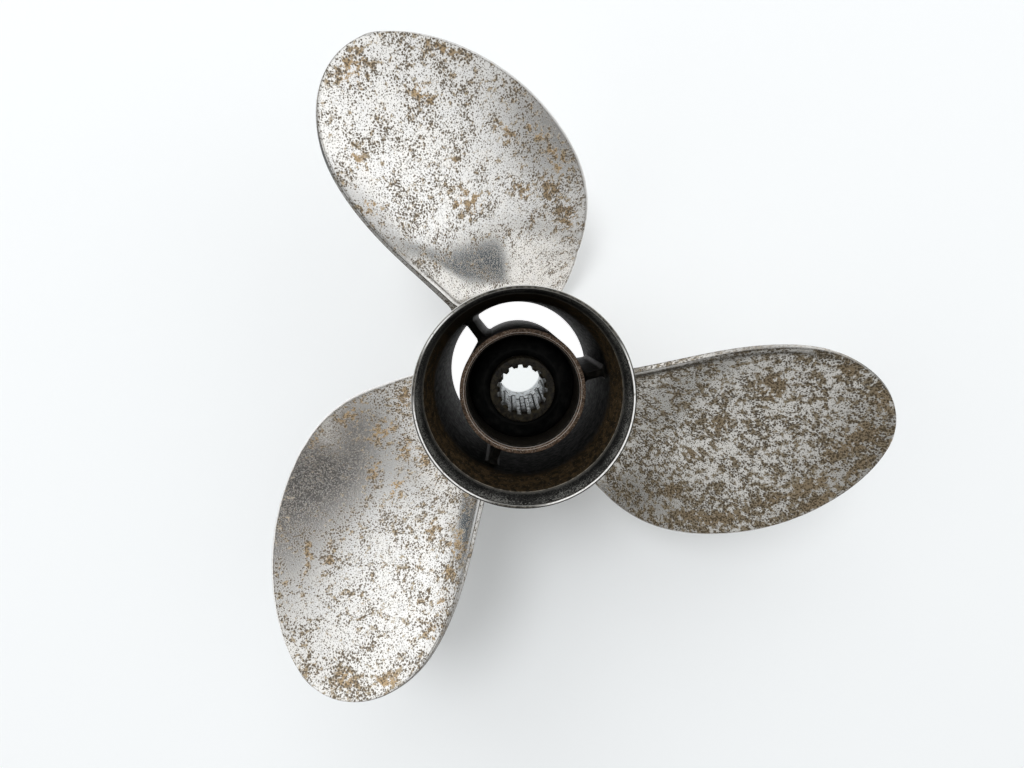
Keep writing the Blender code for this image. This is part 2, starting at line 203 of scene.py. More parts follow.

# Wear and painted light of the hub: the lip's crest with its painted highlight, the arcs where that
# highlight is missing (azimuth, half their reach) and the fainter painted highlight inside it that shows
# there, the azimuth towards which painted light makes soot and the lip's rim paler and painted shade makes
# the rest darker, the depth of the tube's rusty rim, and its rubbed lines with painted highlights (radius,
# half width)
LIP_CREST_RADIUS = 51.42
LIP_INNER_LINE_RADIUS = 51.0
LIP_HIGHLIGHT_GAPS = ((78.0, 50.0), (265.0, 14.0), (168.0, 12.0))
LIP_ARC_SOFTNESS = 8.0
SIDE_SHADING_AZIMUTH = 105.0
TUBE_RIM_DEPTH = 2.2
TUBE_RUBBED_AND_HIGHLIGHT_LINES = ((28.75, 0.12), (29.7, 0.10))

# Floor. It glows under the hub as painted light. The steel mirrors it in colours of its own, a painted
# reflection, with dark shades near the blade roots. A shade is how much it darkens and its straight edges:
# azimuth towards its inside, distance from the shaft, softness
FLOOR_HALF_METRES = 4.0
FLOOR_DROP_METRES = 0.0002
FLOOR_COLOUR = (0.905, 0.93, 0.95)
HUB_GLOW = (1.0, 1.0, 1.0)
BORE_GLOW = (0.86, 0.89, 0.89)
MIRRORED_FLOOR_COLOUR = (0.95, 0.935, 0.91)
MIRRORED_SHADE_COLOUR = (0.012, 0.026, 0.037)
MIRRORED_SHADES = (
    (1.00, ((-59.0, 27.0, 6.0), (79.0, 58.0, 7.0), (123.5, -480.0, 220.0))),
    (0.60, ((36.0, 800.0, 200.0), (115.0, 0.0, 60.0), (-40.0, 0.0, 100.0))),
    (1.00, ((-114.0, 8.0, 18.0), (96.0, 0.0, 40.0), (180.0, 250.0, 60.0))),
    (0.17, ((110.0, 150.0, 80.0),)),
    (0.16, ((-105.0, 60.0, 60.0),)),
)

# Studio that the steel mirrors. A patch is its azimuth, its height above the floor, the angles from its
# middle at which it is full and gone, and how much brighter or darker it is
STUDIO_LEVEL = 0.47
STUDIO_DARKEST = 0.03
STUDIO_PATCHES = (
    (23.0, 19.0, 0.0, 58.0, 0.66),
    (155.0, 31.0, 0.0, 52.0, 0.70),
    (82.0, 31.0, 4.0, 31.0, -0.39),
    (45.0, 10.0, 17.0, 25.0, -0.50),
    (-34.0, 23.0, 0.0, 14.0, -0.30),
    (-32.0, 2.0, 0.0, 24.0, 0.20),
    (-168.0, 0.0, 0.0, 45.0, -0.40),
    (-114.0, 58.0, 0.0, 32.0, -0.42),
    (-125.0, 18.0, 0.0, 38.0, 0.13),
)
BACKDROP_LEVEL = 0.93
STUDIO_COLOUR = (1.0, 1.0, 0.985)
WARM_COLOUR = (1.0, 0.94, 0.88)
WARM_SIDE = (82.0, 32.0)
WARM_REACH = 26.0

# Lamps: azimuth, height above the floor, distance and size in metres, power in watts
KEY_LAMP = (120.0, 66.0, 4.0, 1.28, 43.0)
FILL_LAMP = (100.0, 32.0, 7.0, 7.0, 254.0)


class Graph:
    """Short calls that build one node tree. Lengths in the tree are millimetres on the part."""

    def __init__(self, tree):
        self.tree = tree

    def add(self, kind, *links, **settings):
        node = self.tree.nodes.new(kind)
        for name, value in settings.items():
            setattr(node, name, value)
        for socket, value in zip(node.inputs, links):
            self.put(socket, value)
        return node

    def put(self, socket, value):
        """Links a socket or sets its own value. A colour is given without its alpha."""
        if value is None:
            return
        if isinstance(value, bpy.types.NodeSocket):
            self.tree.links.new(value, socket)
        elif socket.type == "RGBA":
            socket.default_value = (*value, 1.0)
        else:
            socket.default_value = value

    def fill(self, node, **values):
        for name, value in values.items():
            self.put(node.inputs[name], value)
        return node

    def math(self, operation, first, second=None, third=None):
        return self.add("ShaderNodeMath", first, second, third, operation=operation).outputs[0]

    def plus(self, value, added, share):
        """The value plus a share of another one."""
        return self.math("MULTIPLY_ADD", added, share, value)

    def times(self, first, second):
        return self.math("MULTIPLY", first, second)

    def most(self, first, second):
        return self.math("MAXIMUM", first, second)

    def apart(self, first, second):
        """How far two values lie apart."""
        return self.math("ABSOLUTE", self.math("SUBTRACT", first, second))

    def vector(self, operation, first, second=None):
        node = self.add("ShaderNodeVectorMath", first, second, operation=operation)
        return node.outputs["Value" if operation in ("DOT_PRODUCT", "LENGTH") else "Vector"]

    def reach(self, vector, direction):
        """How far a vector reaches in a direction."""
        return self.vector("DOT_PRODUCT", vector, tuple(direction))

    def scaled(self, vector, factor):
        node = self.add("ShaderNodeVectorMath", vector, operation="SCALE")
        return self.fill(node, Scale=factor).outputs["Vector"]

    def step(self, value, low, high, start=0.0, end=1.0):
        """Smooth rise from start to end as the value goes from low to high."""
        node = self.add("ShaderNodeMapRange", value, low, high, start, end, interpolation_type="SMOOTHSTEP")
        return node.outputs["Result"]

    def mix(self, share, first, second):
        """One colour turning to another. The node's inputs 6 and 7 and its output 2 are colours."""
        node = self.add("ShaderNodeMix", data_type="RGBA")
        self.put(node.inputs[0], share)
        self.put(node.inputs[6], first)
        self.put(node.inputs[7], second)
        return node.outputs[2]

    def tint(self, value, low, high, first, second):
        """The first colour, turning to the second as the value goes from low to high."""
        return self.mix(self.step(value, low, high), first, second)

    def bump(self, height, distance, strength=1.0, normal=None):
        node = self.add("ShaderNodeBump")
        self.fill(node, Strength=strength, Distance=distance * MM, Height=height, Normal=normal)
        return node.outputs["Normal"]


class Look(Graph):
    """A material with its place on the part in millimetres, its radius from the shaft and its height."""

    INPUTS = {
        "colour": "Base Color",
        "roughness": "Roughness",
        "metallic": "Metallic",
        "normal": "Normal",
        "specular": "Specular IOR Level",
        "glow": "Emission Color",
        "glow_strength": "Emission Strength",
    }

    def __init__(self, name):
        self.material = bpy.data.materials.new(name)
        self.material.use_nodes = True
        super().__init__(self.material.node_tree)
        self.shader = self.tree.nodes["Principled BSDF"]
        where = self.add("ShaderNodeTexCoord").outputs["Object"]
        self.place = self.scaled(where, 1.0 / MM)
        parts = self.add("ShaderNodeSeparateXYZ", self.place)
        self.height = parts.outputs["Z"]
        self.flat = self.vector("MULTIPLY", self.place, (1.0, 1.0, 0.0))
        self.radius = self.vector("LENGTH", self.flat)

    def noise(self, size, detail=2.0, roughness=0.5, distortion=0.0, along=1.0):
        """Cloudy noise with features of about the given size. Along the shaft it may change more slowly."""
        place = self.place if along == 1.0 else self.vector("MULTIPLY", self.place, (1.0, 1.0, along))
        node = self.add("ShaderNodeTexNoise")
        self.fill(node, Vector=place, Scale=1.0 / size, Detail=detail)
        self.fill(node, Roughness=roughness, Distortion=distortion)
        return node.outputs["Fac"]

    def cells(self, size):
        """Distance to the nearest of many scattered points, as a share of their spacing."""
        node = self.add("ShaderNodeTexVoronoi", feature="F1")
        return self.fill(node, Vector=self.place, Scale=1.0 / size).outputs["Distance"]

    def painted(self, name):
        return self.add("ShaderNodeAttribute", attribute_name=name).outputs["Fac"]

    def facing(self, azimuth):
        """How far a point's side of the shaft lies towards an azimuth: 1 on that side, -1 opposite."""
        return self.reach(self.vector("NORMALIZE", self.flat), towards(azimuth, 0.0))

    def set(self, **values):
        for name, value in values.items():
            self.put(self.shader.inputs[self.INPUTS[name]], value)


def spotted_steel():
    """Satin steel with brown dots that gather under olive and ochre films, dark edge lines of grime and
    painted shade, and bare rubbed edges painted pale as a highlight.
    """
    look = Look("spotted_steel")
    rust, stain, grime_and_shade, rubbed_and_highlight = (look.painted(name) for name in ("rust", "stain", "grime_and_shade", "rubbed_and_highlight"))
    crowd = look.noise(12.0, 2.0, 0.5)
    patch = look.noise(3.3, 3.0, 0.6, 0.15)
    ragged = look.noise(0.9, 2.0, 0.6)
    grain = look.noise(0.5, 1.0)
    tone = look.noise(6.0, 2.0, 0.5)

    level = look.plus(patch, crowd, 0.16)
    level = look.plus(level, ragged, 0.35)
    level = look.plus(level, rust, 0.085)
    level = look.plus(level, stain, 0.16)
    film_mask = look.step(level, 0.815, 0.930, 0.0, 0.85)

    size = look.plus(crowd, patch, 0.55)
    size = look.plus(size, rust, 0.08)
    size = look.plus(size, stain, 0.05)
    size = look.step(size, 0.61, 0.96, 0.275, 0.51)
    large = look.plus(look.cells(1.25), ragged, 0.75)
    large = look.step(look.math("SUBTRACT", large, size), 0.26, 0.40, 0.95, 0.0)
    small = look.plus(look.cells(0.75), size, -0.55)
    dot_mask = look.most(large, look.step(small, 0.04, 0.18, 0.75, 0.0))

    steel = look.tint(tone, 0.3, 0.7, (0.90, 0.90, 0.90), (0.93, 0.92, 0.90))
    steel = look.mix(rust, steel, (0.94, 0.925, 0.89))
    steel = look.mix(look.step(grain, 0.5, 0.75, 0.0, 0.22), steel, (0.45, 0.44, 0.41))
    olive = look.tint(tone, 0.4, 0.6, (0.48, 0.39, 0.25), (0.50, 0.375, 0.225))
    olive = look.mix(rust, olive, (0.26, 0.190, 0.092))
    ochre = look.tint(tone, 0.35, 0.65, (0.56, 0.37, 0.16), (0.40, 0.27, 0.125))
    ochre = look.mix(rust, ochre, (0.27, 0.180, 0.072))
    film = look.tint(stain, 0.20, 0.62, olive, ochre)
    dark = look.mix(rust, (0.165, 0.131, 0.092), (0.105, 0.080, 0.050))
    colour = look.mix(film_mask, steel, film)
    colour = look.mix(dot_mask, colour, dark)
    # Grime and painted shade darken the lines by the edges, and the rubbed edges are painted pale, partly as
    # a highlight
    colour = look.mix(grime_and_shade, colour, (0.060, 0.052, 0.040))
    colour = look.mix(rubbed_and_highlight, colour, (0.93, 0.93, 0.93))
    cover = look.most(look.most(dot_mask, film_mask), grime_and_shade)
    cover = look.times(cover, look.math("SUBTRACT", 1.0, rubbed_and_highlight))
    look.set(
        colour=colour,
        metallic=look.plus(look.step(cover, 0.0, 1.0, 1.0, 0.75), rubbed_and_highlight, -0.75),
        roughness=look.step(cover, 0.0, 1.0, 0.17, 0.52),
        normal=look.bump(cover, 0.04, 1.0, look.bump(grain, 0.004)),
    )
    return look.material


def lip_rubbed_and_highlighted():
    """The tail ring's lip: a painted highlight along its rubbed crest except in some arcs, painted shade
    darkening its flanks, and its rim painted paler on the lit side.
    """
    look = Look("polished_lip")
    radius = look.radius
    nicks = look.noise(1.6, 3.0, 0.6, 0.5)
    off_crest = look.plus(look.apart(radius, LIP_CREST_RADIUS), nicks, 0.20)
    flank = look.step(off_crest, 0.30, 0.55)
    # Arcs where the crest shows no painted highlight
    highlight_gap = 0.0
    for azimuth, reach in LIP_HIGHLIGHT_GAPS:
        ends = (reach + LIP_ARC_SOFTNESS, reach - LIP_ARC_SOFTNESS)
        limits = [math.cos(math.radians(end)) for end in ends]
        highlight_gap = look.most(look.step(look.facing(azimuth), *limits), highlight_gap)
    # The crest's own dull colour where its highlight is missing, and the painted highlight, broken by nicks
    unlit_crest = look.tint(nicks, 0.42, 0.58, (0.045, 0.042, 0.036), (0.16, 0.15, 0.13))
    nicked = look.step(nicks, 0.60, 0.70, 0.0, 0.8)
    crest_highlight = look.mix(nicked, (0.97, 0.97, 0.96), (0.20, 0.18, 0.15))
    # Painted shade on the flanks, the outer rim painted paler on the lit side as painted light, and inside
    # the crest a fainter painted highlight where the crest's highlight is missing
    dark = look.tint(nicks, 0.45, 0.60, (0.018, 0.017, 0.015), (0.070, 0.066, 0.058))
    lit_side = look.step(look.facing(SIDE_SHADING_AZIMUTH), -0.2, 0.6)
    rim = look.plus(radius, nicks, 0.15)
    rim = look.step(rim, LIP_OUTER_RADIUS - 0.40, LIP_OUTER_RADIUS - 0.22, 0.0, 0.9)
    dark = look.mix(look.times(rim, lit_side), dark, (0.62, 0.62, 0.60))
    inner = look.plus(look.apart(radius, LIP_INNER_LINE_RADIUS), nicks, 0.2)
    inner = look.step(inner, 0.18, 0.34, 0.8, 0.0)
    dark = look.mix(look.times(inner, highlight_gap), dark, (0.30, 0.30, 0.29))
    look.set(
        colour=look.mix(flank, look.mix(highlight_gap, crest_highlight, unlit_crest), dark),
        metallic=0.3,
        roughness=look.step(flank, 0.0, 1.0, 0.25, 0.6),
        specular=0.3,
        normal=look.bump(look.noise(0.6, 2.0), 0.01),
    )
    return look.material


def stained_wall():
    """Inside of the barrel: brushed grey at the tail, a crease with a painted highlight, a brown band under
    it and soot below, with painted shade deeper in and painted light and shade by side.
    """
    look = Look("stained_wall")
    height = look.height
    facing = look.facing(SIDE_SHADING_AZIMUTH)
    mottle = look.noise(3.0, 3.0, 0.6, 0.5)
    fine = look.noise(0.8, 2.0, 0.6)
    drift = look.noise(18.0, 2.0)
    streaks = look.noise(1.6, 2.0, 0.6, along=0.12)
    wave = look.plus(look.plus(height, drift, 7.0), mottle, 5.0)
    band = look.step(wave, 113.0, 126.0)
    tail = look.step(height, RING_START - 0.2, RING_START + 0.3)
    depth = look.step(height, RING_START + 0.5, HUB_LENGTH - 1.5)

    # Above its lowest part, soot is painted paler towards the side azimuth and darker away from it: painted
    # light and shade
    low = look.step(height, 32.0, 66.0)
    side_shading = look.mix(low, (1.0, 1.0, 1.0), look.step(facing, -0.6, 0.95, 0.10, 1.7))
    soot = look.tint(streaks, 0.44, 0.60, (0.0015, 0.0015, 0.0015), (0.022, 0.024, 0.021))
    soot = look.vector("MULTIPLY", soot, side_shading)

    brown = look.tint(mottle, 0.40, 0.62, (0.010, 0.008, 0.005), (0.040, 0.027, 0.014))
    brown = look.mix(look.step(fine, 0.60, 0.68, 0.0, 0.6), brown, (0.13, 0.095, 0.065))
    # Painted shade makes the brown band darker towards the side azimuth and on the far side
    brown = look.scaled(brown, look.step(facing, 0.35, 1.0, 1.30, 0.30))
    brown = look.scaled(brown, look.step(facing, -1.0, -0.3, 0.60, 1.0))

    grey = look.tint(mottle, 0.42, 0.58, (0.010, 0.010, 0.010), (0.060, 0.060, 0.058))
    grey = look.tint(look.plus(fine, drift, 0.5), 0.76, 0.84, grey, (0.32, 0.32, 0.30))
    # Painted shade darkens the grey deeper in, towards the crease
    grey = look.mix(look.step(depth, 0.25, 0.9, 0.72, 0.15), grey, (0.005, 0.005, 0.005))
    # A paler band just above the crease, a painted highlight
    step_back = look.plus(height, mottle, 3.0)
    step_back = look.step(step_back, RING_START + 3.2, RING_START + 5.0, 0.55, 0.0)
    grey = look.mix(step_back, grey, (0.17, 0.165, 0.15))
    # Painted shade makes the grey darker towards the side azimuth
    grey = look.scaled(grey, look.step(facing, 0.2, 0.9, 0.9, 0.40))

    colour = look.mix(tail, look.mix(band, soot, brown), grey)
    # A painted highlight along the crease, weaker towards the side azimuth
    off_crease = look.apart(height, RING_START - 0.2)
    crease = look.step(mottle, 0.36, 0.56, 0.2, 0.9)
    crease = look.times(crease, look.step(off_crease, 0.15, 0.60, 1.0, 0.0))
    crease = look.times(crease, look.step(facing, 0.2, 0.9, 1.0, 0.25))
    look.set(
        colour=look.mix(crease, colour, (0.34, 0.31, 0.26)),
        metallic=look.step(look.most(tail, crease), 0.0, 1.0, 0.0, 0.4),
        roughness=look.step(mottle, 0.3, 0.7, 0.52, 0.72),
        specular=0.03,
        normal=look.bump(fine, 0.05, 0.8),
    )
    return look.material


def rusty_tube():
    """The inner tube: brown rust on its rim, rubbed edges with painted highlights inside it, dark and sooty
    along its side.
    """
    look = Look("rusty_hub")
    mottle = look.noise(1.6, 3.0, 0.65, 0.2)
    fine = look.noise(0.7, 2.0, 0.6)
    rim_start = TUBE_LENGTH - TUBE_RIM_DEPTH
    rim = look.step(look.height, rim_start, TUBE_LENGTH - 0.8)
    rust = look.tint(mottle, 0.38, 0.64, (0.050, 0.032, 0.021), (0.150, 0.100, 0.070))
    rust = look.tint(fine, 0.56, 0.66, rust, (0.32, 0.26, 0.21))
    soot = look.tint(mottle, 0.40, 0.64, (0.004, 0.0035, 0.003), (0.020, 0.017, 0.013))
    colour = look.mix(rim, soot, rust)
    # Pale lines along the rim's inner edges: rubbed, and painted highlights
    rubbed_and_highlight = 0.0
    for radius, width in TUBE_RUBBED_AND_HIGHLIGHT_LINES:
        away = look.plus(look.apart(look.radius, radius), mottle, 0.25)
        rubbed_and_highlight = look.most(look.step(away, width, width + 0.20, 0.85, 0.0), rubbed_and_highlight)
    rubbed_and_highlight = look.times(rubbed_and_highlight, look.step(look.height, rim_start, TUBE_LENGTH - 1.2))
    look.set(
        colour=look.mix(rubbed_and_highlight, colour, (0.62, 0.58, 0.54)),
        metallic=look.step(rim, 0.0, 1.0, 0.0, 0.55),
        roughness=look.step(mottle, 0.3, 0.7, 0.42, 0.65),
        specular=0.2,
        normal=look.bump(fine, 0.04, 0.8),
    )
    return look.material


def dark_casting():
    """Sooty cast steel of the ribs."""
    look = Look("dark_casting")
    mottle = look.noise(3.2, 3.0, 0.6)
    look.set(
        colour=look.tint(mottle, 0.4, 0.64, (0.006, 0.006, 0.005), (0.028, 0.025, 0.021)),
        roughness=look.step(mottle, 0.3, 0.7, 0.45, 0.65),
        specular=0.15,
        normal=look.bump(look.noise(0.8, 2.0), 0.05, 0.8),
    )
    return look.material


def black_rubber():
    """Moulded rubber with faint turned rings and an oily sheen."""
    look = Look("rubber")
    dust = look.noise(5.0, 3.0, 0.6)
    rings = look.math("SINE", look.times(look.radius, 3.2))
    look.set(
        colour=look.tint(dust, 0.4, 0.7, (0.0025, 0.0028, 0.0028), (0.008, 0.008, 0.0075)),
        roughness=look.step(dust, 0.3, 0.7, 0.42, 0.6),
        specular=0.12,
        normal=look.bump(rings, 0.03, 0.5),
    )
    return look.material


def oiled_steel():
    """The sleeve: an olive film on its end, bright tooth tips, flanks painted black as shade, a band of
    painted shadow at the front of the teeth and a bright plain bore.
    """
    look = Look("oiled_steel")
    radius = look.radius
    height = look.height
    mottle = look.noise(2.4, 3.0, 0.6, 0.5)
    fine = look.noise(0.7, 2.0, 0.6)
    streaks = look.noise(0.9, 2.0, 0.6, along=0.10)
    film = look.tint(mottle, 0.40, 0.66, (0.006, 0.005, 0.004), (0.024, 0.020, 0.012))
    bare = look.tint(mottle, 0.50, 0.66, (0.80, 0.83, 0.86), (0.22, 0.215, 0.20))
    splined = look.step(height, SPLINE_FRONT - 1.0, SPLINE_FRONT + 1.0)
    # The teeth's flanks are painted black as shade
    past_tip = look.step(radius, SPLINE_MINOR_RADIUS + 0.24, SPLINE_MINOR_RADIUS + 0.40)
    short_of_root = look.step(radius, SPLINE_MAJOR_RADIUS - 0.40, SPLINE_MAJOR_RADIUS - 0.15, 1.0, 0.0)
    flank = look.times(past_tip, short_of_root)
    # A ragged black band of painted shadow just behind the front of the teeth
    front_shadow = look.math("SUBTRACT", height, look.plus(SPLINE_FRONT, fine, 9.0))
    flank = look.most(flank, look.step(front_shadow, 0.0, 1.5, 1.0, 0.0))
    shade = look.most(flank, look.step(streaks, 0.54, 0.62, 0.0, 0.85))
    shade = look.times(shade, splined)
    bare = look.mix(shade, bare, (0.004, 0.004, 0.004))
    in_bore = look.step(radius, PLAIN_BORE_RADIUS + 0.1, PLAIN_BORE_RADIUS + 0.25, 1.0, 0.0)
    below = look.step(height, SLEEVE_AFT - 26.0, SLEEVE_AFT - 4.0, 1.0, 0.0)
    clean = look.times(in_bore, below)
    look.set(
        colour=look.mix(clean, film, bare),
        metallic=look.times(clean, look.step(shade, 0.0, 1.0, 0.4, 0.0)),
        roughness=look.step(mottle, 0.3, 0.7, 0.30, 0.52),
        specular=look.step(shade, 0.0, 1.0, 0.2, 0.02),
        normal=look.bump(fine, 0.03, 0.8),
    )
    return look.material


def mirrored_level(look):
    """How bright the steel sees the floor, a painted reflection: dimmer straight above and below the shaft,
    dark in the shades.
    """
    right, up = picture_axes()
    sideways = look.math("ABSOLUTE", look.reach(look.place, right))
    sideways = look.math("DIVIDE", sideways, look.radius)
    near = look.step(look.reach(look.place, up), -420.0, -120.0, 0.55, 1.0)
    level = look.times(near, look.step(sideways, 0.0, 0.9, 0.70, 1.0))
    for share, edges in MIRRORED_SHADES:
        inside = share
        for azimuth, offset, softness in edges:
            reach = look.reach(look.place, towards(azimuth, 0.0))
            inside = look.times(look.step(reach, offset - softness, offset + softness), inside)
        level = look.times(level, look.math("SUBTRACT", 1.0, inside))
    return level


def white_floor():
    """Pale board that glows as painted light where it shows up through the hub. What the steel mirrors of it
    is set apart as a painted reflection.
    """
    look = Look("pale_floor")
    under_hub = look.step(look.radius, FRONT_INNER_RADIUS, FRONT_OUTER_RADIUS, 1.0, 0.0)
    in_bore = look.step(look.radius, PLAIN_BORE_RADIUS + 4.0, PLAIN_BORE_RADIUS + 5.0, 1.0, 0.0)
    mirrored = look.mix(mirrored_level(look), MIRRORED_SHADE_COLOUR, MIRRORED_FLOOR_COLOUR)
    glossy = look.add("ShaderNodeLightPath").outputs["Is Glossy Ray"]
    look.set(
        colour=look.mix(glossy, FLOOR_COLOUR, mirrored),
        roughness=0.65,
        specular=0.2,
        glow=look.mix(in_bore, HUB_GLOW, BORE_GLOW),
        glow_strength=under_hub,
    )
    return look.material


def add_piece(name, points, faces, materials, node, chosen=None, sharp=35.0):
    """A closed mesh from points in millimetres, which stands for a CAD node and rides with it."""
    mesh = bpy.data.meshes.new(name)
    mesh.from_pydata(np.asarray(points) * MM, [], faces)
    for material in materials:
        mesh.materials.append(material)
    if chosen is not None:
        mesh.polygons.foreach_set("material_index", np.asarray(chosen, dtype=np.int32))
    shape = bmesh.new()
    shape.from_mesh(mesh)
    bmesh.ops.recalc_face_normals(shape, faces=shape.faces)
    shape.to_mesh(mesh)
    shape.free()
    mesh.shade_smooth()
    mesh.set_sharp_from_angle(angle=math.radians(sharp))
    piece = bpy.data.objects.new(name, mesh)
    SCENE.collection.objects.link(piece)
    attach(piece, "root")
    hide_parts(node)
    return piece


def ring_faces(loop_count, ring_count, closed=True):
    """Quads between neighbouring loops of points, round each loop and from loop to loop."""
    faces = []
    last = loop_count if closed else loop_count - 1
    for loop in range(last):
        here = loop * ring_count
        there = (loop + 1) % loop_count * ring_count
        for i in range(ring_count):
            ahead = (i + 1) % ring_count
            faces.append((here + i, here + ahead, there + ahead, there + i))
    return faces


def round_points(radii, turns, heights):
    """Points at the given distances from the shaft, turns in radians and heights."""
    return np.column_stack((radii * np.cos(turns), radii * np.sin(turns), heights + 0 * turns))


def turned(name, profile, materials, node, zones=None, sharp=35.0):
    """A ring turned about Z from a closed profile of (radius, height). Zones number its materials."""
    turns = np.arange(ROUND_STEPS) * math.tau / ROUND_STEPS
    points = np.vstack([round_points(radius, turns, height) for radius, height in profile])
    faces = ring_faces(len(profile), ROUND_STEPS)
    chosen = np.repeat(zones, ROUND_STEPS) if zones else None
    return add_piece(name, points, faces, materials, node, chosen, sharp)


def rounded(corners, radius, steps=ARC_STEPS):
    """The closed profile with each corner replaced by a small arc."""
    count = len(corners)
    points = []
    for i, corner in enumerate(corners):
        here = np.array(corner, float)
        before = np.array(corners[i - 1], float) - here
        after = np.array(corners[(i + 1) % count], float) - here
        reach = min(radius, 0.45 * np.linalg.norm(before), 0.45 * np.linalg.norm(after))
        start = here + before / np.linalg.norm(before) * reach
        end = here + after / np.linalg.norm(after) * reach
        for step in range(steps + 1):
            share = step / steps
            point = (1 - share) ** 2 * start + 2 * share * (1 - share) * here + share**2 * end
            points.append(tuple(point))
    return points


def ease(share):
    return share * share * (3 - 2 * share)


def flared(share):
    """How much of its flare the barrel has made at a share of the flare's length."""
    return ease(share) * FLARE_EASE + share * share * (1 - FLARE_EASE)


def flare_points(first, last):
    """Profile of the flare, from its first radius to its last."""
    points = []
    for step in range(FLARE_STEPS + 1):
        share = step / FLARE_STEPS
        height = FLARE_START + (RING_START - FLARE_START) * share
        points.append((first + (last - first) * flared(share), height))
    return points


def barrel_outer_radius(height):
    """Outer radius of the barrel at a height. It widens a little from its front to its flare."""
    share = np.clip((np.asarray(height) - FLARE_START) / (RING_START - FLARE_START), 0.0, 1.0)
    straight = (BARREL_OUTER_RADIUS - FRONT_OUTER_RADIUS) * np.clip(height / FLARE_START, 0.0, 1.0)
    return FRONT_OUTER_RADIUS + straight + (RING_START_OUTER_RADIUS - BARREL_OUTER_RADIUS) * flared(share)


def outer_barrel(steel, wall):
    """Tube that carries the blades, with a rounded front end and a flare aft."""
    outer = flare_points(BARREL_OUTER_RADIUS, RING_START_OUTER_RADIUS)[::-1]
    inner = flare_points(BARREL_INNER_RADIUS, RING_START_INNER_RADIUS)
    front = [(FRONT_OUTER_RADIUS, 0.0), (FRONT_INNER_RADIUS, 0.0)]
    arc = ARC_STEPS + 1
    foot = rounded(front + inner[:1] + outer[-1:], FRONT_ROUNDING)[: 2 * arc]
    outside = len(outer) + arc
    profile = outer + foot + inner
    zones = [0] * (outside - 1) + [1] * (len(profile) - outside + 1)
    return turned("barrel_skin", profile, [steel, wall], "outer_barrel", zones)


def diffuser_ring(steel, lip_steel, wall):
    """Flared tail ring with a rounded lip."""
    lip_radius = (LIP_OUTER_RADIUS - LIP_INNER_RADIUS) / 2
    lip_middle = (LIP_OUTER_RADIUS + LIP_INNER_RADIUS) / 2
    lip_height = HUB_LENGTH - lip_radius
    lip = []
    for step in range(LIP_STEPS + 1):
        turn = math.pi * step / LIP_STEPS
        lip.append((lip_middle - lip_radius * math.cos(turn), lip_height + lip_radius * math.sin(turn)))
    length = lip_height - RING_START
    outer_rise = LIP_OUTER_RADIUS - RING_START_OUTER_RADIUS
    inner_rise = LIP_INNER_RADIUS - RING_START_INNER_RADIUS
    outer = []
    inner = []
    for share in np.linspace(0.0, 1.0, RING_STEPS + 1)[1:-1]:
        outer.append((LIP_OUTER_RADIUS - outer_rise * share**RING_OUTER_CURVE, lip_height - length * share))
        inside_radius = LIP_INNER_RADIUS - inner_rise * (1 - share) ** RING_INNER_CURVE
        inner.append((inside_radius, RING_START + length * share))
    root = [(RING_START_OUTER_RADIUS, RING_START), (RING_START_INNER_RADIUS, RING_START)]
    profile = lip + outer + root + inner
    outside = len(outer) + 1
    zones = [1] * LIP_STEPS + [0] * outside + [2] * (len(profile) - LIP_STEPS - outside)
    materials = [steel, lip_steel, wall]
    return turned("tail_ring_skin", profile, materials, "diffuser_ring", zones)


def inner_hub(material):
    """Tube with a rounded rim, a chamfer and a small step inside it."""
    corners = [
        (TUBE_AFT_RADIUS, TUBE_LENGTH),
        (TUBE_FRONT_RADIUS, 0.0),
        (TUBE_BORE_RADIUS + TUBE_CHAMFER, 0.0),
        (TUBE_BORE_RADIUS, 2 * TUBE_CHAMFER),
        (TUBE_BORE_RADIUS, TUBE_LENGTH - 4.0),
        (TUBE_BORE_RADIUS + TUBE_STEP, TUBE_LENGTH - 3.4),
        (TUBE_BORE_RADIUS + TUBE_STEP, TUBE_LENGTH - 1.0),
        (TUBE_BORE_RADIUS + TUBE_CHAMFER, TUBE_LENGTH),
    ]
    profile = rounded(corners, TUBE_ROUNDING)
    return turned("hub_tube_skin", profile, [material], "inner_hub", sharp=50.0)


def rubber_bushing(material):
    """Ring of rubber that fills the tube, with bevelled ends."""
    outer = TUBE_BORE_RADIUS - 0.1
    inner = SLEEVE_RADIUS + 0.1
    corners = [
        (inner + 3.0, BUSHING_AFT),
        (outer - 2.5, BUSHING_AFT - 2.2),
        (outer, BUSHING_AFT - 5.0),
        (outer, BUSHING_FRONT + 5.0),
        (outer - 2.5, BUSHING_FRONT + 2.2),
        (inner + 3.0, BUSHING_FRONT),
        (inner, BUSHING_FRONT + 1.5),
        (inner, BUSHING_AFT - 1.5),
    ]
    profile = rounded(corners, BUSHING_ROUNDING, BUSHING_ARC_STEPS)
    return turned("bushing_skin", profile, [material], "rubber_bushing", sharp=60.0)


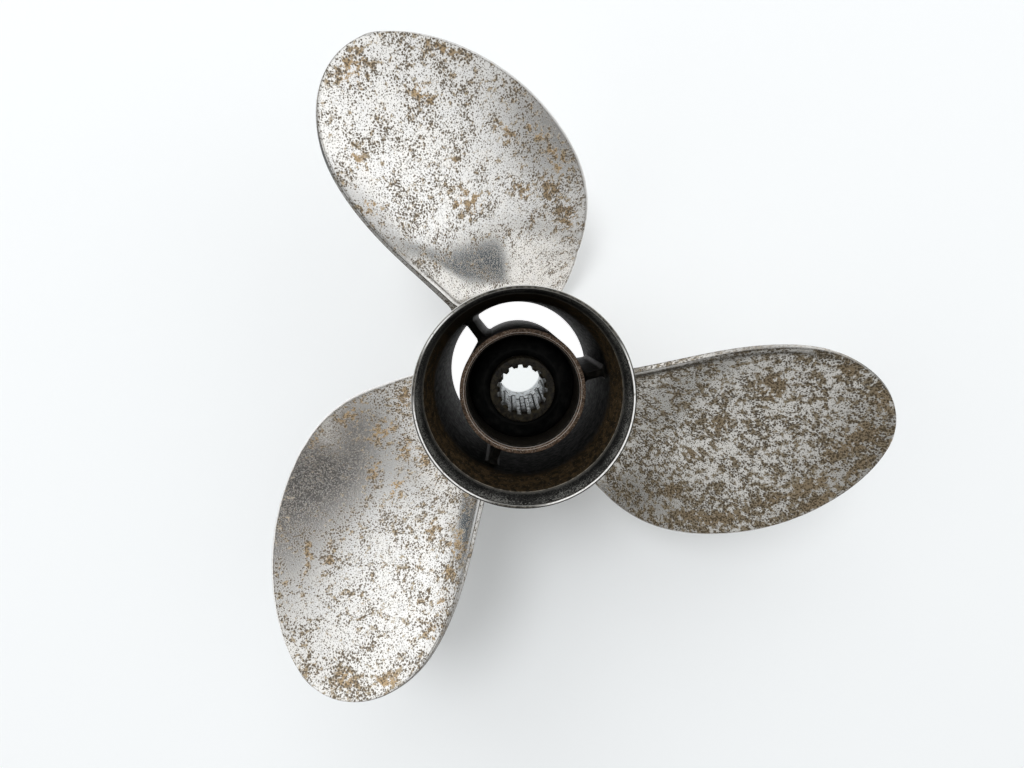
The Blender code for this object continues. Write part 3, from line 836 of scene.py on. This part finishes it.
def splined_sleeve(material):
    """Sleeve with fifteen worn teeth aft and a plain bore ahead of them."""
    chance = random.Random(SPLINE_SEED)
    tooth_turn = math.tau / SPLINE_TEETH
    all_teeth = range(SPLINE_TEETH)
    turns = np.array([(tooth + share) * tooth_turn for tooth in all_teeth for share, _ in SPLINE_FORM])
    depth = np.array([deep for _ in all_teeth for _, deep in SPLINE_FORM])
    wear = np.repeat([chance.uniform(*SPLINE_WEAR) for _ in all_teeth], len(SPLINE_FORM))
    run_out = np.repeat([chance.uniform(*SPLINE_RUN_OUT) for _ in all_teeth], len(SPLINE_FORM))
    teeth = SPLINE_MINOR_RADIUS + wear + (SPLINE_MAJOR_RADIUS - SPLINE_MINOR_RADIUS - wear) * depth
    rows = []
    for radii, heights in (
        (SLEEVE_RADIUS - SLEEVE_CHAMFER, SLEEVE_AFT),
        (SLEEVE_RADIUS - 0.25, SLEEVE_AFT - 0.25),
        (SLEEVE_RADIUS, SLEEVE_AFT - SLEEVE_CHAMFER),
        (SLEEVE_RADIUS, SLEEVE_FRONT + SLEEVE_CHAMFER),
        (SLEEVE_RADIUS - SLEEVE_CHAMFER, SLEEVE_FRONT),
        (PLAIN_BORE_RADIUS + 0.5, SLEEVE_FRONT),
        (PLAIN_BORE_RADIUS, SLEEVE_FRONT + 0.5),
        (PLAIN_BORE_RADIUS, SPLINE_FRONT - SPLINE_RUN_IN + run_out),
        (teeth, SPLINE_FRONT + run_out),
        (teeth, SLEEVE_AFT - 1.2),
        (np.maximum(teeth, SPLINE_MINOR_RADIUS + 0.3), SLEEVE_AFT - 0.7),
        (np.maximum(teeth, SPLINE_MINOR_RADIUS + 0.9) + 0.15, SLEEVE_AFT),
    ):
        rows.append(round_points(radii, turns, heights))
    points = np.vstack(rows)
    faces = ring_faces(len(rows), len(turns))
    return add_piece("sleeve_skin", points, faces, [material], "splined_sleeve", sharp=30.0)


def rib(index, material):
    """Radial plate with a rounded aft edge and fillets at the tube and the barrel."""
    turn = math.radians(RIB_ANGLE + 360.0 / BLADE_COUNT * index)
    along = np.array([math.cos(turn), math.sin(turn), 0.0])
    across = np.array([-math.sin(turn), math.cos(turn), 0.0])
    near = TUBE_AFT_RADIUS - RIB_OVERLAP
    far = BARREL_INNER_RADIUS + RIB_OVERLAP
    slope = (RIB_AFT_AT_BARREL - RIB_AFT_AT_TUBE) / (BARREL_INNER_RADIUS - TUBE_AFT_RADIUS)
    loops = []
    for share in 0.5 - 0.5 * np.cos(np.linspace(0.0, math.pi, RIB_LOOPS)):
        radius = near + (far - near) * share
        clear = min(radius - TUBE_AFT_RADIUS - 0.4, BARREL_INNER_RADIUS - radius)
        reach = min(RIB_FILLET, max(0.0, RIB_FILLET - clear))
        fillet = RIB_FILLET - math.sqrt(max(0.0, RIB_FILLET**2 - reach**2))
        half = RIB_THICKNESS / 2 + fillet
        top = RIB_AFT_AT_TUBE + slope * (radius - TUBE_AFT_RADIUS) - RIB_THICKNESS / 2 + fillet
        loop = []
        for step in range(RIB_EDGE_STEPS + 1):
            lean = math.pi * step / RIB_EDGE_STEPS
            height = top + RIB_THICKNESS / 2 * math.sin(lean)
            loop.append(radius * along + half * math.cos(lean) * across + np.array([0, 0, height]))
        for side in (-1.0, 1.0):
            loop.append(radius * along + side * half * across + np.array([0, 0, RIB_FRONT]))
        loops.append(loop)
    count = len(loops[0])
    points = np.vstack(loops)
    faces = ring_faces(len(loops), count, closed=False)
    faces.append(tuple(range(count)))
    faces.append(tuple(range((len(loops) - 1) * count, len(loops) * count))[::-1])
    number = index + 1
    return add_piece(f"rib_skin_{number}", points, faces, [material], f"rib_{number}")


def natural_spline(knots, values):
    """Second derivatives of the natural cubic through the points."""
    count = len(knots)
    gap = np.diff(knots)
    matrix = np.eye(count)
    right = np.zeros(count)
    for i in range(1, count - 1):
        matrix[i, i - 1 : i + 2] = gap[i - 1], 2 * (gap[i - 1] + gap[i]), gap[i]
        right[i] = 6 * ((values[i + 1] - values[i]) / gap[i] - (values[i] - values[i - 1]) / gap[i - 1])
    return np.linalg.solve(matrix, right)


class BladeForm:
    """Smooth blade sizes. They run on a width that is 0 at the tip, where the outline turns round."""

    def __init__(self):
        table = np.array(BLADE_STATIONS[::-1])
        self.knots = self.width(table[:, 0])
        self.columns = [table[:, i] for i in range(1, table.shape[1])]
        self.bends = [natural_spline(self.knots, column) for column in self.columns]

    @staticmethod
    def width(radius):
        return np.sqrt(np.clip(1.0 - np.asarray(radius, float) / TIP_RADIUS, 0.0, 1.0))

    def at(self, width):
        """Trailing angle, leading angle, pitch, generator height and thickness."""
        i = int(np.clip(np.searchsorted(self.knots, width) - 1, 0, len(self.knots) - 2))
        gap = self.knots[i + 1] - self.knots[i]
        low = (self.knots[i + 1] - width) / gap
        high = 1.0 - low
        found = []
        for column, bend in zip(self.columns, self.bends):
            curve = ((low**3 - low) * bend[i] + (high**3 - high) * bend[i + 1]) * gap * gap / 6
            found.append(low * column[i] + high * column[i + 1] + curve)
        return found


def face_points(radius, angles, sizes, shares):
    """Points of the pressure face: a screw surface with a shallow hollow that cups the trailing edge."""
    pitch, height = sizes[2:4]
    fade = math.sin(math.pi * min(1.0, (TIP_RADIUS - radius) / CUP_FADE_LENGTH) / 2)
    rise = 1.0 - (1.0 - shares / CUP_SHARE) ** 2
    fall = 1.0 - np.clip((shares - CUP_SHARE) / (1.0 - CUP_SHARE), 0.0, 2.0) ** CUP_CURVE
    hollow = np.where(shares < CUP_SHARE, rise, fall)
    turns = np.radians(angles)
    heights = height + pitch * (angles - GENERATOR_ANGLE) / 360.0 - CUP_DEPTH * fade * hollow
    return round_points(radius, turns, heights)


def unit(vectors):
    return vectors / np.linalg.norm(vectors, axis=-1, keepdims=True)


def shifted(points, directions, lengths):
    """Points moved along the cylinder that they lie on, so that a fillet stays on the barrel."""
    radii = np.hypot(points[:, 0], points[:, 1])
    turns = np.arctan2(points[:, 1], points[:, 0])
    tangents = np.column_stack((-np.sin(turns), np.cos(turns)))
    sideways = (directions[:, :2] * tangents).sum(1)
    size = np.hypot(sideways, directions[:, 2])
    turns = turns + lengths * sideways / size / radii
    return round_points(radii, turns, points[:, 2] + lengths * directions[:, 2] / size)


def fillet_reach(points):
    """How far the root fillet stands off the blade at each point, from its clearance to the barrel."""
    clear = np.hypot(points[:, 0], points[:, 1]) - barrel_outer_radius(points[:, 2])
    reach = np.clip(ROOT_FILLET - clear, 0.0, ROOT_FILLET)
    return ROOT_FILLET - np.sqrt(ROOT_FILLET**2 - reach**2)


def rounded_end(start, end, outward, steps, softness=1.0):
    """Points of a round end between two points. A lower softness makes it squarer."""
    turns = np.linspace(0.0, math.pi, steps + 2)[1:-1, None]
    cosines = np.sign(np.cos(turns)) * np.abs(np.cos(turns)) ** softness
    return (start + end) / 2 + (start - end) / 2 * cosines + outward * np.abs(np.sin(turns)) ** softness


def blade_loop(form, width, index):
    """One closed section: the face, the rounded leading edge, the back and the trailing wall."""
    radius = TIP_RADIUS * (1.0 - width * width)
    sizes = form.at(width)
    near_width = width + PROBE_WIDTH
    near_radius = TIP_RADIUS * (1.0 - near_width * near_width)
    near = form.at(near_width)
    trailing, leading, _, _, thickness = sizes
    shares = 0.5 - 0.5 * np.cos(np.linspace(0.0, math.pi, CHORD_STEPS))
    angles = trailing + (leading - trailing) * shares
    nick = edge_nicks(radius, index)
    angles = angles + math.degrees(nick / radius) * shares**NICK_SHARPNESS
    here = face_points(radius, angles, sizes, shares)
    behind_shares = shares - PROBE_ANGLE / (trailing - leading)
    along = face_points(radius, angles + PROBE_ANGLE, sizes, behind_shares) - here
    across = here - face_points(near_radius, angles, near, shares)
    normals = unit(np.cross(across, along))

    inward = width / form.knots[-1]
    wall = TRAILING_WALL_TIP + (TRAILING_WALL_ROOT - TRAILING_WALL_TIP) * inward**TRAILING_WALL_TAPER
    thick = wall + (LEADING_EDGE_THICKNESS - wall) * shares
    thick += max(0.0, thickness - (wall + LEADING_EDGE_THICKNESS) / 2) * 4 * shares * (1.0 - shares)
    back = here - normals * thick[:, None]
    face_fillet = fillet_reach(here)
    back_fillet = fillet_reach(back)
    face = shifted(here, normals, face_fillet)
    back = shifted(back, -normals, back_fillet)

    ahead = unit(here[-1] - here[-2]) * (LEADING_EDGE_THICKNESS * 0.5 + 0.3 * face_fillet[-1])
    nose = rounded_end(face[-1], back[-1], ahead, NOSE_STEPS)
    behind = unit(here[0] - here[1]) * (0.4 + 0.45 * face_fillet[0])
    softness = 0.3 + 0.7 * min(1.0, face_fillet[0] / (0.5 * ROOT_FILLET))
    trailing_wall = rounded_end(back[0], face[0], behind, WALL_STEPS, softness)
    loop = np.vstack((face, nose, back[::-1], trailing_wall))
    loop_shares = np.concatenate((shares, np.ones(NOSE_STEPS), shares[::-1], np.zeros(WALL_STEPS)))
    return loop, loop_shares


def edge_nicks(radius, index):
    """How far small dents push the leading edge back, in millimetres."""
    chance = random.Random(NICK_SEED + index)
    depth = 0.0
    for _ in range(NICK_COUNT):
        place = chance.uniform(*NICK_RADIUS)
        size = chance.uniform(*NICK_DEPTH)
        half = chance.uniform(*NICK_HALF_WIDTH)
        depth += size * math.exp(-(((radius - place) / half) ** 2))
    return depth


def loop_strip(first):
    """Faces that close the blade section whose points start at the given number."""
    last = CHORD_STEPS - 1
    far = first + CHORD_STEPS + NOSE_STEPS + last
    faces = [(first + i, first + i + 1, far - i - 1, far - i) for i in range(last)]
    faces.append(tuple(range(first + last, far - last + 1)))
    faces.append(tuple(range(far, far + WALL_STEPS + 1)) + (first,))
    return faces


def blade_widths(form):
    """Stations of the skin: close together in the root fillet, then spread to the tip."""
    lifts = ROOT_FILLET * (1.0 - np.cos(np.linspace(0.0, math.pi / 2, FILLET_STEPS)))
    foot = FRONT_OUTER_RADIUS - ROOT_SINK
    root = form.width(np.concatenate(([foot], foot + 0.45 + lifts)))
    rest = np.linspace(root[-1], LAST_WIDTH, SPAN_STEPS)[1:]
    return np.concatenate((root, rest))


def ramp(values, start, length):
    """Rise from 0 to 1 over a length. A negative length rises backwards."""
    return np.clip((values - start) / length, 0.0, 1.0)


def bell(away, size):
    return np.exp(-((away / size) ** 2))


def blade_rust(radii, shares, index):
    """How rusty a blade is at each point."""
    rust = np.full(len(radii), BLADE_RUST[index])
    rust += LEADING_RUST[index] * ramp(shares, 0.65, 0.25)
    rust += TIP_RUST * ramp(radii, 140.0, 35.0)
    rust -= ROOT_CLEAN[index] * ramp(radii, 85.0, -30.0)
    place, share, size = CLEAN_PATCH[index]
    away = np.hypot(radii - place, (shares - share) * radii)
    rust -= CLEAN_PATCH_STRENGTH * bell(away, size)
    return rust


def blade_edges(form, loop_parts, shares, radii, index):
    """Dark lines of grime and painted shade beside the blade's edges, and how far the edges themselves are
    rubbed bright and painted pale as a highlight.
    """
    angles = np.array([form.at(form.width(radius))[:2] for radius in radii])
    chords = np.radians(angles[:, 0] - angles[:, 1]) * radii
    from_trailing = shares * chords
    from_leading = (1.0 - shares) * chords
    bead = np.clip((radii - BEAD_START[index]) / 25.0, 0.15, 1.0) * BEAD_WIDTH[index]
    on_face = loop_parts < CHORD_STEPS
    on_nose = (loop_parts >= CHORD_STEPS) & (loop_parts < CHORD_STEPS + NOSE_STEPS)
    on_wall = loop_parts >= 2 * CHORD_STEPS + NOSE_STEPS
    step_in = np.where(on_nose, loop_parts - CHORD_STEPS, loop_parts - 2 * CHORD_STEPS - NOSE_STEPS)

    grime_and_shade = np.zeros(len(radii))
    rubbed_and_highlight = np.zeros(len(radii))
    root = ramp(radii, 95.0, -25.0)
    tip = ramp(radii, 130.0, 35.0)
    # Dark lines of grime and painted shade beside the edges, with a band of painted shade beside the
    # trailing edge
    line = 1.2 * root * bell(from_trailing - 1.6, 0.42)
    line += (1.0 - root) * (1.0 - 0.6 * tip) * bell(from_trailing - 0.35, 0.35)
    line += EDGE_SHADE_BAND[index] * (1.0 - tip) * bell(from_trailing - 2.4, 1.1)
    line += 0.7 * bell(from_leading - bead - 0.35, 0.35)
    grime_and_shade[on_face] = 0.75 * line[on_face]
    # Rubbed edges, painted pale as a highlight too, on the bead and near the root along the trailing edge
    rubbed_and_highlight[on_face] = 0.9 * ramp(from_leading - bead, 0.0, -0.3)[on_face]
    rubbed_and_highlight[on_face] += 0.8 * (root * ramp(from_trailing, 1.1, -0.3))[on_face]

    # The nose's points run from the face to the back, and the wall's from the back to the face
    # The nose is painted pale as a highlight on its face side and dark as painted shade on its back; the
    # wall is painted pale as a highlight and dark at its corners with grime and painted shade
    nose = np.interp(step_in, (0, 1, 2, 3), (1.0, 1.0, 0.4, 0.0)) * (1.0 - 0.8 * tip)
    rubbed_and_highlight[on_nose] = nose[on_nose]
    grime_and_shade[on_nose] = np.maximum(np.interp(step_in, (1, 2, 3), (0.0, 0.5, 0.85)), 0.6 * tip)[on_nose]
    wall = np.interp(step_in, (0, 2, 7), (0.0, 1.0, 1.0)) * WALL_RUBBED_AND_HIGHLIGHT[index] * ramp(radii, 60.0, 60.0)
    film = np.interp(step_in, (0, 2, 3, 4, 5, 7), (0.85, 0.5, 0.0, 0.0, 0.4, 0.85)) + WALL_GRIME_AND_SHADE[index]
    rubbed_and_highlight[on_wall] = wall[on_wall]
    grime_and_shade[on_wall] = film[on_wall]
    return np.clip(grime_and_shade, 0.0, 0.9), np.clip(rubbed_and_highlight, 0.0, 1.0)


def blade_stains(form, radii, shares, index):
    """The larger ochre stains: 1 in the middle of each, fading to 0 around it."""
    stain = np.zeros(len(radii))
    for place, share, size in BLADE_STAINS[index]:
        trailing, leading = form.at(form.width(place))[:2]
        chord = math.radians(trailing - leading) * place
        away = np.hypot(radii - place, (shares - share) * chord)
        stain = np.maximum(stain, bell(away, size))
    return stain


def blade(index, material):
    """One blade, turned to its place, with its rust and wear, and the painted shade and highlights by its
    edges, painted on its points.
    """
    form = BladeForm()
    loops = [blade_loop(form, width, index) for width in blade_widths(form)]
    points = np.vstack([loop for loop, _ in loops])
    radii = np.hypot(points[:, 0], points[:, 1])
    shares = np.concatenate([share for _, share in loops])
    count = len(loops[0][0])
    parts = np.tile(np.arange(count), len(loops))
    grime_and_shade, rubbed_and_highlight = blade_edges(form, parts, shares, radii, index)
    turn = math.tau / BLADE_COUNT * index
    cosine, sine = math.cos(turn), math.sin(turn)
    spin = np.array([[cosine, -sine, 0], [sine, cosine, 0], [0, 0, 1]])
    faces = ring_faces(len(loops), count, closed=False)
    faces += loop_strip(0) + loop_strip((len(loops) - 1) * count)
    name = f"blade_{index + 1}"
    piece = add_piece(f"{name}_skin", points @ spin.T, faces, [material], name, sharp=60.0)
    paint(piece, "rust", blade_rust(radii, shares, index))
    paint(piece, "stain", blade_stains(form, radii, shares, index))
    paint(piece, "grime_and_shade", grime_and_shade)
    paint(piece, "rubbed_and_highlight", rubbed_and_highlight)
    return piece


def paint(piece, name, values):
    """Values per point that the materials read by name."""
    layer = piece.data.attributes.new(name, "FLOAT", "POINT")
    layer.data.foreach_set("value", np.asarray(values, dtype=np.float32))


def picture_axes():
    """Directions to the right and to the top of the picture, laid flat on the floor."""
    turn = math.radians(CAMERA_TURN[2])
    right = Vector((math.cos(turn), math.sin(turn), 0.0))
    up = Vector((-math.sin(turn), math.cos(turn), 0.0))
    return right, up


def towards(azimuth, elevation):
    """A direction by its azimuth and its angle above the floor."""
    right, up = picture_axes()
    around = math.radians(azimuth)
    above = math.radians(elevation)
    flat = right * math.cos(around) + up * math.sin(around)
    return flat * math.cos(above) + Vector((0.0, 0.0, math.sin(above)))


def studio_world():
    """Pale surroundings with two windows and the darker sides that the steel mirrors."""
    world = bpy.data.worlds.new("studio")
    SCENE.world = world
    world.use_nodes = True
    graph = Graph(world.node_tree)
    background = world.node_tree.nodes["Background"]
    direction = graph.add("ShaderNodeTexCoord").outputs["Generated"]

    def nearness(azimuth, elevation):
        return graph.reach(direction, towards(azimuth, elevation))

    level = STUDIO_LEVEL
    for azimuth, elevation, inner, outer, gain in STUDIO_PATCHES:
        limits = [math.cos(math.radians(reach)) for reach in (outer, inner)]
        patch = graph.step(nearness(azimuth, elevation), *limits, 0.0, gain)
        level = graph.math("ADD", patch, level)
    level = graph.most(level, STUDIO_DARKEST)
    seen = graph.add("ShaderNodeLightPath").outputs["Is Camera Ray"]
    level = graph.times(level, graph.math("SUBTRACT", 1.0, seen))
    graph.put(background.inputs["Strength"], graph.plus(level, seen, BACKDROP_LEVEL))
    warm = graph.step(nearness(*WARM_SIDE), math.cos(math.radians(WARM_REACH)), 1.0)
    graph.put(background.inputs["Color"], graph.mix(warm, STUDIO_COLOUR, WARM_COLOUR))


def area_light(name, azimuth, elevation, distance, size, power):
    """A round lamp that the steel doesn't mirror."""
    data = bpy.data.lights.new(name, "AREA")
    data.shape = "DISK"
    data.size = size
    data.energy = power
    lamp = bpy.data.objects.new(name, data)
    SCENE.collection.objects.link(lamp)
    direction = towards(azimuth, elevation)
    lamp.location = direction * distance
    lamp.rotation_euler = (-direction).to_track_quat("-Z", "Y").to_euler()
    lamp.visible_glossy = False


def add_floor(material):
    mesh = bpy.data.meshes.new("floor")
    half = FLOOR_HALF_METRES
    corners = [(-half, -half, 0), (half, -half, 0), (half, half, 0), (-half, half, 0)]
    mesh.from_pydata(corners, [], [(0, 1, 2, 3)])
    mesh.materials.append(material)
    floor = bpy.data.objects.new("floor", mesh)
    SCENE.collection.objects.link(floor)
    floor.location.z = -FLOOR_DROP_METRES


def add_camera():
    data = bpy.data.cameras.new("camera")
    data.sensor_width = CAMERA_SENSOR
    data.lens = CAMERA_LENS
    data.clip_start, data.clip_end = CAMERA_CLIP_METRES
    camera = bpy.data.objects.new("camera", data)
    SCENE.collection.objects.link(camera)
    camera.location = Vector(CAMERA_PLACE) * MM
    camera.rotation_euler = [math.radians(turn) for turn in CAMERA_TURN]
    SCENE.camera = camera


def main():
    SCENE.view_settings.view_transform = "Standard"
    add_camera()
    studio_world()
    area_light("key", *KEY_LAMP)
    area_light("fill", *FILL_LAMP)
    add_floor(white_floor())

    steel = spotted_steel()
    wall = stained_wall()
    casting = dark_casting()
    outer_barrel(steel, wall)
    diffuser_ring(steel, lip_rubbed_and_highlighted(), wall)
    inner_hub(rusty_tube())
    rubber_bushing(black_rubber())
    splined_sleeve(oiled_steel())
    for index in range(BLADE_COUNT):
        rib(index, casting)
        blade(index, steel)


main()
